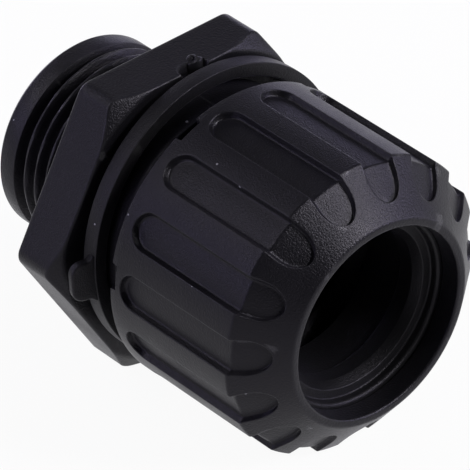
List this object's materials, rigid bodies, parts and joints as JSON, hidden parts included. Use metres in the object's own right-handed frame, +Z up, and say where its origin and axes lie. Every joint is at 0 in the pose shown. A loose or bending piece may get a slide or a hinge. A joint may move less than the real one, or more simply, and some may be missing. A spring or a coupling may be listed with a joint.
{
  "type": "liquidtight conduit connector",
  "caption": "Straight liquidtight conduit connector: threaded entry, hex, sealing ring, compression nut with grip recesses and a stepped rubber grip ring.",
  "frame": {"origin": "on the connector's axis, at the hex face that seats on the panel", "axes": "+X along the axis, out of the conduit mouth; +Z up, square to the hex's top flat; the connector lies on one hex flat as in the picture"},
  "size_m": [0.0421, 0.0344, 0.0306],
  "materials": {
    "polyamide_black": "satin",
    "polyamide_insert": "satin",
    "rubber_grey": "matte"
  },
  "bodies": {
    "fitting": {"body": "polyamide_black", "ferrule": "polyamide_insert", "shoulder_seal": "rubber_grey"},
    "gland": {"grip_ring": "rubber_grey"},
    "nut": {"compression_nut": "polyamide_black"}
  },
  "joints": [
    {"name": "nut_travel", "type": "slide", "parent": "fitting", "child": "gland", "axis": [1, 0, 0], "range_m": [-0.0021, 0.0061]},
    {"name": "nut_turn", "type": "hinge", "parent": "gland", "child": "nut", "pos_m": [0.02, 0, 0], "axis": [1, 0, 0], "range_deg": [-480, 1440]}
  ],
  "couplings": [
    {"joint": "nut_travel", "follows": "nut_turn", "m_per_rad": 0.00023873}
  ]
}
